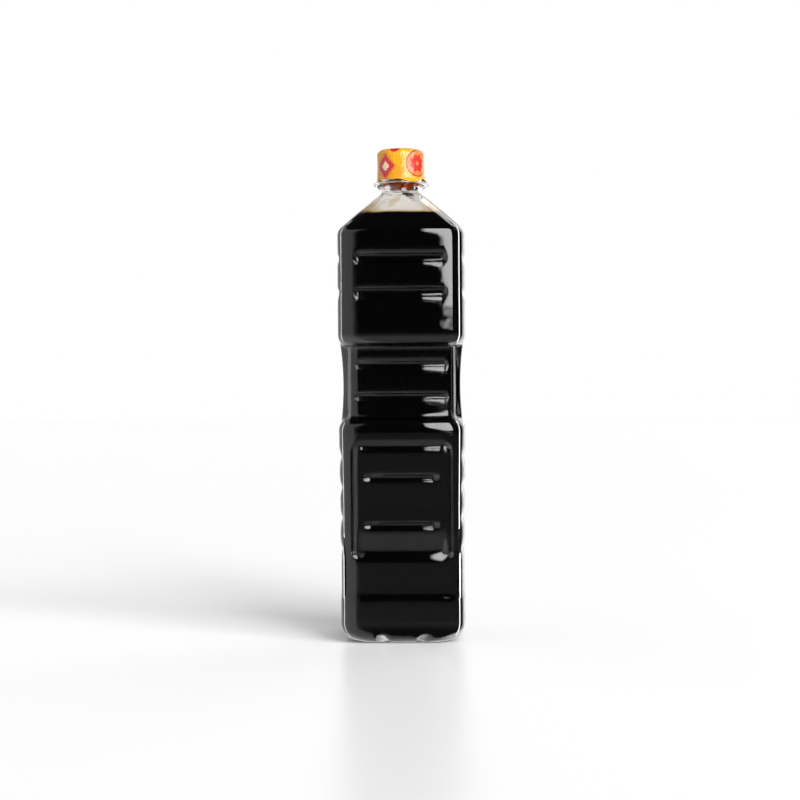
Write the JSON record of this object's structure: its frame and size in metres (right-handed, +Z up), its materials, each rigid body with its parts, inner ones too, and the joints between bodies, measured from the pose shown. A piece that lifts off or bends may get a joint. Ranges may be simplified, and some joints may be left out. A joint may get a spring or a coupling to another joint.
{
  "type": "black seed oil bottle",
  "caption": "Tall square clear plastic bottle with grooved faces and a drawn-in waist, full of dark oil, closed by a screw cap in yellow film.",
  "frame": {"origin": "centre of the base, on the surface that the bottle stands on", "axes": "+Z up along the bottle's axis, -Y out of the front face, +X to the right of someone facing the front"},
  "size_m": [0.0794, 0.0794, 0.3065],
  "materials": {
    "clear_plastic": "clear gloss",
    "dark_oil": "liquid",
    "printed_film": "printed shrink film"
  },
  "bodies": {
    "root": {"bottle": "clear_plastic", "oil": "dark_oil", "cap": "printed_film"}
  },
  "joints": []
}
